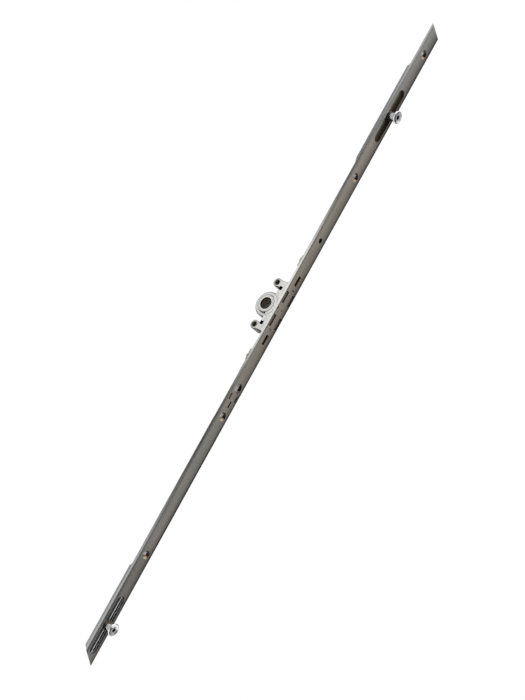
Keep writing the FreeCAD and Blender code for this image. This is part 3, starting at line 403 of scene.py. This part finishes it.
# Rack and rods: stamped steel bars, zinc plated. Their front is painted dark as the
# shade behind the faceplate, darker still on its lower part and right side, with grease
# and rubbed patches, a painted pale reflection at the view hole and a painted highlight
# line along the lower part. Their back is dull plating, and their sheared edges are
# brighter and bluish.
rod_steel, place = finish("rod_steel")
x, y, z = place.across()
rubbed = place.scaled(1, 1, 0.05).noise(0.0011, 4.0)
grease = place.scaled(1, 1, 0.4).noise(0.006, 4.0)
ROD_FRONT, VIEW_HOLE_LOW, VIEW_HOLE_HIGH = -0.0123, -0.086, -0.073
edge = x.size().step(0.0074, 0.0079)
upper = z.step(-0.15, 0.0)
front_face = 1 - y.step(ROD_FRONT - 0.00005, ROD_FRONT + 0.00005)
colour = tint(upper, (0.040, 0.041, 0.041), (0.135, 0.122, 0.092))
shaded = tint(upper, (0.016, 0.016, 0.017), (0.055, 0.048, 0.037))
colour = tint(x.step(0.0002, 0.0016), colour, shaded)
colour = tint(grease.step(0.38, 0.68) * 0.4, colour, (0.030, 0.027, 0.023))
colour = tint(rubbed.step(0.55, 0.75) * 0.2, colour, (0.20, 0.19, 0.16))
# Painted pale reflection on the rod behind the view hole
pale_reflection = z.within(VIEW_HOLE_LOW, VIEW_HOLE_HIGH, 0.001) * x.within(-0.0030, 0.0028, 0.0003)
mottle = place.noise(0.0007, 3.0).step(0.42, 0.58)
colour = tint(pale_reflection, colour, tint(mottle, (1.0, 0.96, 0.96), (0.50, 0.42, 0.41)))
# Painted highlight line along the lower rod, seen in the lower slot
highlight_line = x.within(0.0019, 0.0028, 0.0002) * (1 - z.step(-0.21, -0.20))
colour = tint(highlight_line, colour, (0.86, 0.91, 0.94))
plated = tint(grease.step(0.38, 0.68), (0.50, 0.495, 0.47), (0.40, 0.385, 0.355))
plated = tint(rubbed.step(0.55, 0.75) * 0.3, plated, (0.30, 0.285, 0.26))
colour = tint(front_face, plated, colour)
colour = tint(edge, colour, (0.46, 0.48, 0.50))
metallic = 1 - 0.7 * front_face * (1 - edge)
surface(place, colour, 0.20 + 0.12 * grease, rubbed * 0.000004, metallic,
        Specular_IOR_Level=0.2)
dress(rod_steel, "drive_rack", "upper_drive_rod", "lower_drive_rod")


# Guides: black nylon mouldings, pressed into the faceplate, that hold the rods
# against its back. They have a fine matt skin.
guide_nylon, place = finish("guide_nylon")
skin = place.noise(0.0003, 4.0)
sheen = place.noise(0.004, 3.0)
colour = tint(sheen.step(0.3, 0.7), (0.010, 0.0095, 0.009), (0.016, 0.015, 0.014))
surface(place, colour, 0.50 + 0.14 * sheen, skin * 0.000006, metallic=0.0,
        Specular_IOR_Level=0.2)
dress(guide_nylon, "upper_rod_guide", "lower_rod_guide")


# Collars: tan bushes round the foot of each cam that slide in the faceplate's slots.
# They are turned, dull and greasy, paler on the upper cam, and painted dark as shade on the
# side that looks down.
UPPER_CAM, LOWER_CAM = 0.2053, -0.3123


def above_cam(z):
    """Height above the axis of the nearer cam, and 1 for the upper cam or 0 for the lower."""
    upper = z.step(-0.1, 0.1)
    return z - (upper * (UPPER_CAM - LOWER_CAM) + LOWER_CAM), upper


collar_brass, place = finish("collar_brass")
_, _, z = place.across()
wear = place.noise(0.0018, 4.0)
turning = place.node("TexWave", {"bands_direction": "Y"},
                     {"Vector": place, "Scale": 2600.0, "Distortion": 0.6}, 1)
height, upper = above_cam(z)
lit_side = tint(upper, (0.115, 0.105, 0.080), (0.25, 0.185, 0.150))
lit_side = tint(wear.step(0.35, 0.7) * 0.5, lit_side, (0.10, 0.075, 0.055))
# Painted shade below the cam's axis, the lit tone above it
colour = tint(height.step(0.0, 0.0022), (0.022, 0.018, 0.016), lit_side)
surface(place, colour, 0.44 + 0.16 * wear, turning * 0.000004, metallic=0.5)
dress(collar_brass, "upper_cam_collar", "lower_cam_collar")


# Studs: turned steel, riveted into the rods, with a hexagon socket that sets how far
# off centre the cam stands. The socket is painted black as shade, and the flange inside
# the collar is painted like the collar: tan above the axis and dark below it as painted
# shade.
stud_steel, place = finish("stud_steel")
_, y, z = place.across()
SOCKET_MOUTH, SOCKET_FLOOR, FLANGE_TOP = -0.0238, -0.0220, -0.0167
wear = place.noise(0.0013, 4.0)
colour = tint(wear.step(0.4, 0.7), (0.72, 0.72, 0.72), (0.58, 0.57, 0.55))
sunk = y.step(SOCKET_MOUTH - 0.00005, SOCKET_MOUTH + 0.00005)
sunk = sunk * (1 - y.step(SOCKET_FLOOR - 0.0005, SOCKET_FLOOR + 0.0005))
colour = tint(sunk, colour, (0.02, 0.02, 0.022))
height, _ = above_cam(z)
# Flange painted tan above the axis and dark below it as painted shade
flange = tint(height.step(0.0, 0.0022), (0.020, 0.017, 0.015), (0.21, 0.155, 0.125))
colour = tint(y.step(FLANGE_TOP - 0.0003, FLANGE_TOP + 0.0003), colour, flange)
surface(place, colour, 0.16 + 0.14 * wear, wear * 0.000004)
dress(stud_steel, "upper_cam_stud", "lower_cam_stud")


# Rollers: bright chromed mushroom heads that spin on the studs. Each is turned in one
# piece, with a cone that widens behind a thin rounded head and a shallow dished face.
roller_chrome, place = finish("roller_chrome")
x, y, _ = place.across()
rub = place.noise(0.0022, 4.0)
rings = place.noise(0.0004, 3.0)
neck = y.step(-0.0228, -0.0222)
# Painted shade on the far side of the neck
shaded_neck_side = neck * (x + y * 0.3).step(-0.0075, -0.0065)
colour = tint(rub.step(0.45, 0.75), (0.92, 0.93, 0.94), (0.80, 0.80, 0.81))
colour = tint(shaded_neck_side, colour, (0.62, 0.62, 0.61))
surface(place, colour, 0.05 + 0.07 * rub + 0.25 * neck, rings * 0.0000015,
        metallic=1 - 0.8 * neck)


def lathe(name, middle, profile, count):
    """Surface turned about the Y axis through middle, from pairs of radius and y in mm."""
    mesh = bmesh.new()
    rings = []
    for radius, level in profile:
        ring = []
        for i in range(count):
            angle = 2 * math.pi * i / count
            ring.append(mesh.verts.new(((radius * math.cos(angle)) / 1000 + middle[0],
                                        level / 1000,
                                        (radius * math.sin(angle)) / 1000 + middle[2])))
        rings.append(ring)
    for low, high in zip(rings, rings[1:]):
        for i in range(count):
            j = (i + 1) % count
            mesh.faces.new((low[i], low[j], high[j], high[i]))
    bmesh.ops.recalc_face_normals(mesh, faces=mesh.faces)
    for face in mesh.faces:
        face.smooth = True
    data = bpy.data.meshes.new(name)
    mesh.to_mesh(data)
    mesh.free()
    piece = bpy.data.objects.new(name, data)
    bpy.context.scene.collection.objects.link(piece)
    return piece


BORE, FOOT, NECK_RADIUS, NECK_START, NECK_LENGTH = 2.36, -16.32, 2.66, -16.60, 6.00
CONE, FLARE, NECK_STEPS = 1.54, 1.50, 12
DISH_RADIUS, DISH_WIDTH, DISH_LEVEL, DISH_DEPTH, DISH_STEPS = 5.00, 1.94, -23.94, 0.30, 6
SEGMENTS = 64
roller_profile = [(BORE, FOOT), (2.52, FOOT), (2.62, -16.40), (NECK_RADIUS, NECK_START)]
for i in range(1, NECK_STEPS + 1):
    share = i / NECK_STEPS
    roller_profile.append((NECK_RADIUS + CONE * share + FLARE * share ** 6,
                           NECK_START - NECK_LENGTH * share))
roller_profile += [(5.84, -22.70), (5.98, -22.86), (6.04, -23.08), (6.05, -23.30),
                   (6.01, -23.52), (5.90, -23.74), (5.74, -23.88), (5.52, -23.97),
                   (5.26, -23.985), (DISH_RADIUS, DISH_LEVEL)]
for i in range(1, DISH_STEPS + 1):
    share = i / DISH_STEPS
    roller_profile.append((DISH_RADIUS - DISH_WIDTH * share,
                           DISH_LEVEL + DISH_DEPTH * (1 - (1 - share) ** 2)))
roller_profile += [(3.02, -23.60), (3.01, -23.15), (BORE, -23.10), (BORE, FOOT)]
for which, height in (("upper", UPPER_CAM), ("lower", LOWER_CAM)):
    roller = lathe(which + "_roller_skin", (0, 0, height), roller_profile, SEGMENTS)
    roller.data.materials.append(roller_chrome)
    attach(roller, which + "_roller")
    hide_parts(which + "_cam_roller")


# Camera: the photograph looks up the plate from its lower left, rolled so that
# the plate runs from the lower left corner to the upper right one.
FOCAL_PIXELS, LONG_SIDE, SENSOR = 1300, 700, 36
DISTANCE, SHIFT_RIGHT, SHIFT_UP = 1.16235, -0.00593, -0.03950
azimuth, elevation, roll = (math.radians(angle) for angle in (-52.87, -7.33, -29.02))
back = Vector((math.sin(azimuth) * math.cos(elevation),
               -math.cos(azimuth) * math.cos(elevation), math.sin(elevation)))
level = Vector((math.cos(azimuth), math.sin(azimuth), 0))
upright = back.cross(level)
right = math.cos(roll) * level - math.sin(roll) * upright
up = math.sin(roll) * level + math.cos(roll) * upright
lens = bpy.data.cameras.new("camera")
lens.sensor_width = SENSOR
lens.lens = FOCAL_PIXELS * SENSOR / LONG_SIDE
lens.clip_start, lens.clip_end = 0.01, 50
camera = bpy.data.objects.new("camera", lens)
turn = Matrix((right, up, back)).transposed().to_4x4()
camera_place = DISTANCE * back + SHIFT_RIGHT * right + SHIFT_UP * up
camera.matrix_world = Matrix.Translation(camera_place) @ turn
bpy.context.scene.collection.objects.link(camera)
bpy.context.scene.camera = camera


# Studio: a white background for the camera. What the metal mirrors is a dimmer room
# with dark screens, and on the left a window between dark curtains, in a dim wall.
# Bearings are degrees round the upright axis from +X, and wz is how far a look rises.
world = bpy.data.worlds.new("studio")
bpy.context.scene.world = world
world.use_nodes = True
world.node_tree.nodes.clear()
start = Wire(world.node_tree, None)
toward = start.node("TexCoord", None, None, "Generated")
wx, wy, wz = toward.across()
bearing = wy.maths("ARCTAN2", wx) * (180 / math.pi)

flag = bearing.step(-46, -20) * (1 - bearing.step(21, 30)) * wz.within(-0.45, 0.45, 0.3)
backdrop = bearing.within(31, 106, 9) * wz.within(-0.5, 0.5, 0.2)
behind = bearing.within(-150, -108, 12) * wz.within(-0.35, 0.35, 0.2)
left = bearing.within(122, 166, 14)
curtains = wz.within(0.03, 0.27, 0.10)
daylight = wz.step(0.095, 0.14) * (1 - wz.step(0.19, 0.265))
window = 0.6 - 0.53 * curtains + 1.1 * daylight
shade = bearing.within(-82, -52, 4) * (1 - wz.step(0.06, 0.16))
shade = shade + bearing.within(-30, 0, 5) * wz.within(0.42, 0.8, 0.06)
table = bearing.within(14, 43, 5) * (1 - wz.step(0.06, 0.14))
table = table * (0.75 + 0.2 * wz.within(-0.17, -0.10, 0.04))
panel = bearing.within(-80, -50, 5) * wz.within(0.44, 0.8, 0.05)
panel = panel + bearing.within(-42, -22, 4) * wz.within(-0.40, -0.17, 0.05)
room = 0.50 + backdrop * 0.45 + wz.step(0.55, 0.80) * 0.9
room = room * (1 - flag * 0.86) * (1 - behind * 0.8) * (1 - shade * 0.8) * (1 - table)
room = room * (1 - left) * (1 - panel) + panel * 1.3 + window * left
path = toward.node("LightPath", None, None, "Is Camera Ray")
seen = path.maths("MAXIMUM", toward.node("LightPath", None, None, "Is Transmission Ray"))
strength = seen + (1 - seen) * room
light = toward.node("Background", None, {"Color": (1, 1, 1, 1), "Strength": strength})
toward.node("OutputWorld", None, {"Surface": light})
bpy.context.scene.view_settings.view_transform = "Standard"


# Lamps: two large softboxes, the key high on the left and a weaker fill in front. They
# and the room light the part at a plain level.
def softbox(name, place, aim, side, power):
    """Square area lamp that looks at a point."""
    lamp = bpy.data.lights.new(name, "AREA")
    lamp.shape, lamp.size, lamp.size_y, lamp.energy = "RECTANGLE", side, side, power
    holder = bpy.data.objects.new(name, lamp)
    place = Vector(place)
    holder.location = place
    holder.rotation_mode = "QUATERNION"
    holder.rotation_quaternion = (Vector(aim) - place).to_track_quat("-Z", "Y")
    bpy.context.scene.collection.objects.link(holder)


softbox("key_softbox", (-0.7, -0.9, 1.5), (0, 0, 0), 1.0, 9.0)
softbox("fill_softbox", (-0.2, -1.9, 0.5), (0, 0, 0), 1.0, 3.0)


# Floor: a sheet of white paper well below the part. It is matt, keeps the part's
# shadow, and has a little light of its own that only the camera sees.
REACH, FLOOR_LEVEL = 2.0, -0.75
floor_mesh = bpy.data.meshes.new("floor")
corners = [(x_sign * REACH, y_sign * REACH, FLOOR_LEVEL)
           for x_sign, y_sign in ((-1, -1), (1, -1), (1, 1), (-1, 1))]
floor_mesh.from_pydata(corners, [], [(0, 1, 2, 3)])
floor = bpy.data.objects.new("floor", floor_mesh)
bpy.context.scene.collection.objects.link(floor)
paper, place = finish("floor_paper")
fibre = place.noise(0.05, 2.0)
white = tint(fibre, (0.90, 0.90, 0.90), (0.92, 0.92, 0.92))
matt = place.node("BsdfPrincipled", None, {"Base Color": white, "Roughness": 0.9})
glow = place.node("Emission", None, {"Color": (1, 1, 1, 1), "Strength": 0.35})
seen = place.node("LightPath", None, None, "Is Camera Ray")
lit = place.node("MixShader", None, {0: seen, 2: glow})
both = place.node("AddShader", None, {0: matt, 1: lit})
place.node("OutputMaterial", None, {"Surface": both})
floor_mesh.materials.append(paper)
